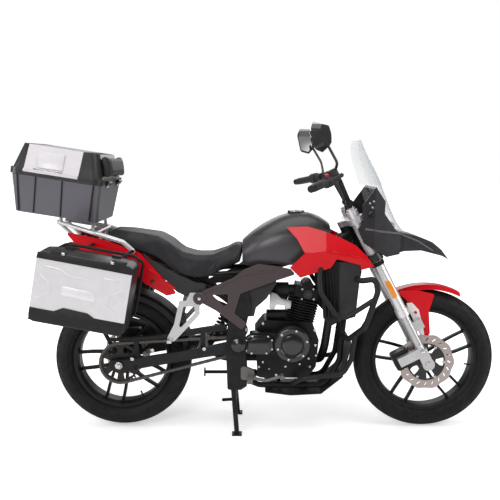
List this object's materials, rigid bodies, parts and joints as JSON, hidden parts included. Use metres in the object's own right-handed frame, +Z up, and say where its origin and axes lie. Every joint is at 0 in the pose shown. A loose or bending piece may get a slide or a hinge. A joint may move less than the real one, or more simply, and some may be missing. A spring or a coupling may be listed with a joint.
{
  "type": "adventure motorcycle",
  "caption": "Adventure motorcycle with steered fork, cast wheels, tall screen, crash bars, centre stand, side stand, top case and two opening side cases.",
  "frame": {"origin": "middle of the machine's length and width, on the ground it stands on", "axes": "+X towards the front wheel, +Y to the rider's left, +Z up"},
  "size_m": [2.128, 0.936, 1.3777],
  "materials": {
    "black_frame": "satin black powder coat",
    "engine_black": "satin dark grey casting",
    "silver_alloy": "satin",
    "fork_upper": "gloss black",
    "fork_lower": "polished slider, black foot",
    "red_plastic": "gloss red",
    "anthracite": "gloss anthracite",
    "tank_paint": "gloss anthracite",
    "black_plastic": "matt black",
    "grey_plastic": "satin grey brown",
    "seat_cover": "matt black grained cover over foam",
    "screen": "clear, lightly smoked",
    "lamp": "clear lens over a dark body",
    "wheel_black": "gloss black",
    "tyre": "matt black",
    "disc_steel": "brushed, dark carrier",
    "chain_steel": "oiled",
    "bar_black": "satin black",
    "rubber": "matt black",
    "muffler": "brushed",
    "case_tub": "matt graphite",
    "case_lid": "satin silver with black edges",
    "steel_black": "satin black tube"
  },
  "bodies": {
    "chassis": {"air_box": "black_plastic", "bash_plate": "steel_black", "chain_guard": "black_plastic", "crash_bars": "steel_black", "drive_chain": "chain_steel", "engine": "engine_black", "exhaust": "muffler", "frame_covers": "grey_plastic", "fuel_tank": "tank_paint", "main_frame": "black_frame", "pannier_racks": "steel_black", "pannier_tub_left": "case_tub", "pannier_tub_right": "case_tub", "passenger_hangers": "silver_alloy", "rear_caliper": "engine_black", "rear_hugger": "black_plastic", "rear_mudguard": "black_plastic", "rear_rack": "silver_alloy", "rear_shock": "steel_black", "rear_subframe": "black_frame", "rider_pegs": "steel_black", "seat": "seat_cover", "shrouds": "red_plastic", "side_covers": "black_plastic", "side_panels": "black_plastic", "swingarm": "silver_alloy", "tail_panels": "red_plastic", "top_case_tub": "case_tub"},
    "steering": {"triple_clamps": "engine_black", "fork_uppers": "fork_upper", "fork_lowers": "fork_lower", "front_caliper": "engine_black", "handlebar": "bar_black", "hand_controls": "rubber", "mirrors": "black_plastic", "front_cowl": "anthracite", "cowl_stays": "steel_black", "beak": "anthracite", "headlamp": "lamp", "windscreen": "screen", "front_fender": "red_plastic"},
    "front_wheel": {"front_rim": "wheel_black", "front_tyre": "tyre", "front_disc": "disc_steel"},
    "rear_wheel": {"rear_rim": "wheel_black", "rear_tyre": "tyre", "rear_sprocket": "chain_steel", "rear_disc": "disc_steel"},
    "centre_stand": {"centre_stand": "steel_black"},
    "side_stand": {"side_stand": "steel_black"},
    "top_lid": {"top_case_lid": "case_lid", "backrest_pad": "seat_cover"},
    "pannier_lid_left": {"pannier_lid_left": "case_lid"},
    "pannier_lid_right": {"pannier_lid_right": "case_lid"}
  },
  "joints": [
    {"name": "steering_turn", "type": "hinge", "parent": "chassis", "child": "steering", "pos_m": [0.70413, 0, 0.29922], "axis": [-0.4617, 0, 0.887], "range_deg": [-35, 35]},
    {"name": "front_wheel_spin", "type": "hinge", "parent": "steering", "child": "front_wheel", "pos_m": [0.74405, 0, 0.32], "axis": [0, 1, 0], "continuous": true},
    {"name": "rear_wheel_spin", "type": "hinge", "parent": "chassis", "child": "rear_wheel", "pos_m": [-0.63595, 0, 0.322], "axis": [0, 1, 0], "continuous": true},
    {"name": "centre_stand_fold", "type": "hinge", "parent": "chassis", "child": "centre_stand", "pos_m": [-0.13095, 0, 0.236], "axis": [0, 1, 0], "range_deg": [0, 73]},
    {"name": "side_stand_swing", "type": "hinge", "parent": "chassis", "child": "side_stand", "pos_m": [-0.03395, 0.16, 0.198], "axis": [0, -0.7071, -0.7071], "range_deg": [0, 95]},
    {"name": "top_lid_open", "type": "hinge", "parent": "chassis", "child": "top_lid", "pos_m": [-0.65797, 0, 1.12931], "axis": [0, 1, 0], "range_deg": [0, 85]},
    {"name": "left_lid_open", "type": "hinge", "parent": "chassis", "child": "pannier_lid_left", "pos_m": [-0.73747, 0.3524, 0.56553], "axis": [-0.9833, 0, 0.1822], "range_deg": [0, 80]},
    {"name": "right_lid_open", "type": "hinge", "parent": "chassis", "child": "pannier_lid_right", "pos_m": [-0.73747, -0.3524, 0.56553], "axis": [0.9833, 0, -0.1822], "range_deg": [0, 80]}
  ]
}
